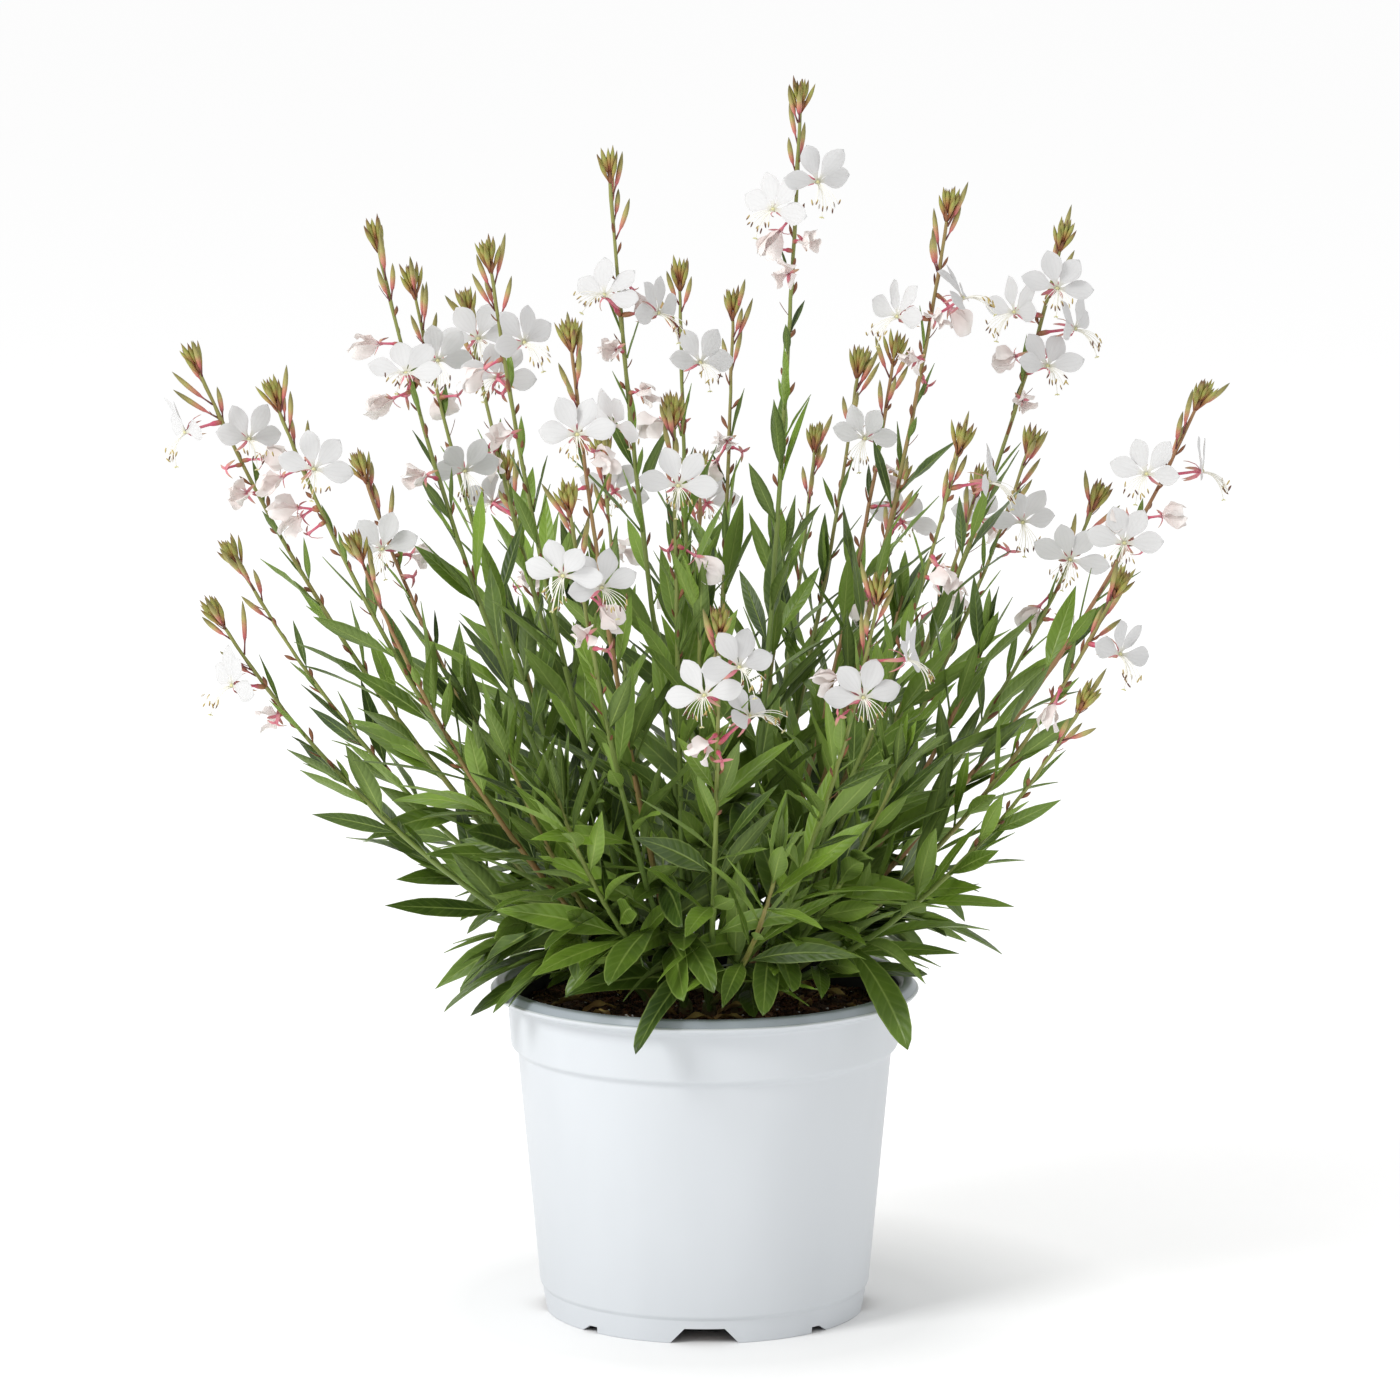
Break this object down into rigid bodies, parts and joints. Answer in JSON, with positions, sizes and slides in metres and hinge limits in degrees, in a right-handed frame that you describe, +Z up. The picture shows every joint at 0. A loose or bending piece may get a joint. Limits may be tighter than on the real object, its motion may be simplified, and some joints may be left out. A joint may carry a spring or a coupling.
{
  "type": "potted whirling butterflies gaura",
  "caption": "Perennial with slim wands of white four-petalled flowers above narrow leaves, growing in soil in a round tapered nursery pot.",
  "frame": {"origin": "on the ground at the middle of the pot's foot", "axes": "+Z up the plant, -Y towards the front, +X to the right as seen from the front"},
  "size_m": [0.4654, 0.409, 0.5488],
  "materials": {
    "pot": "satin pale grey-white polypropylene",
    "soil": "matt dark potting mix with bark",
    "foliage": "soft satin green leaves, stems and buds",
    "petal": "matt white petals"
  },
  "bodies": {
    "root": {"pot": "pot", "soil": "soil", "spray_01": "foliage", "spray_02": "foliage", "spray_03": "foliage", "spray_04": "foliage", "spray_05": "foliage", "spray_06": "foliage", "spray_07": "foliage", "spray_08": "foliage", "spray_09": "foliage", "spray_10": "foliage", "spray_11": "foliage", "spray_12": "foliage", "bloom_01": "petal", "bloom_02": "petal", "bloom_03": "petal", "bloom_04": "petal", "bloom_05": "petal", "bloom_06": "petal", "bloom_07": "petal", "bloom_08": "petal", "bloom_09": "petal", "bloom_10": "petal", "bloom_11": "petal", "bloom_12": "petal", "bloom_13": "petal", "bloom_14": "petal", "bloom_15": "petal", "bloom_16": "petal", "bloom_17": "petal", "bloom_18": "petal", "bloom_19": "petal", "bloom_20": "petal", "bloom_21": "petal", "bloom_22": "petal", "bloom_23": "petal", "bloom_24": "petal", "bloom_25": "petal", "bloom_26": "petal", "bloom_27": "petal", "bloom_28": "petal", "bloom_29": "petal", "bloom_30": "petal", "bloom_31": "petal", "bloom_32": "petal", "bloom_33": "petal", "bloom_34": "petal", "bloom_35": "petal", "bloom_36": "petal", "bloom_37": "petal", "bloom_38": "petal", "bloom_39": "petal", "bloom_40": "petal", "bloom_41": "petal", "bloom_42": "petal", "bloom_43": "petal", "bloom_44": "petal", "bloom_45": "petal"}
  },
  "joints": []
}
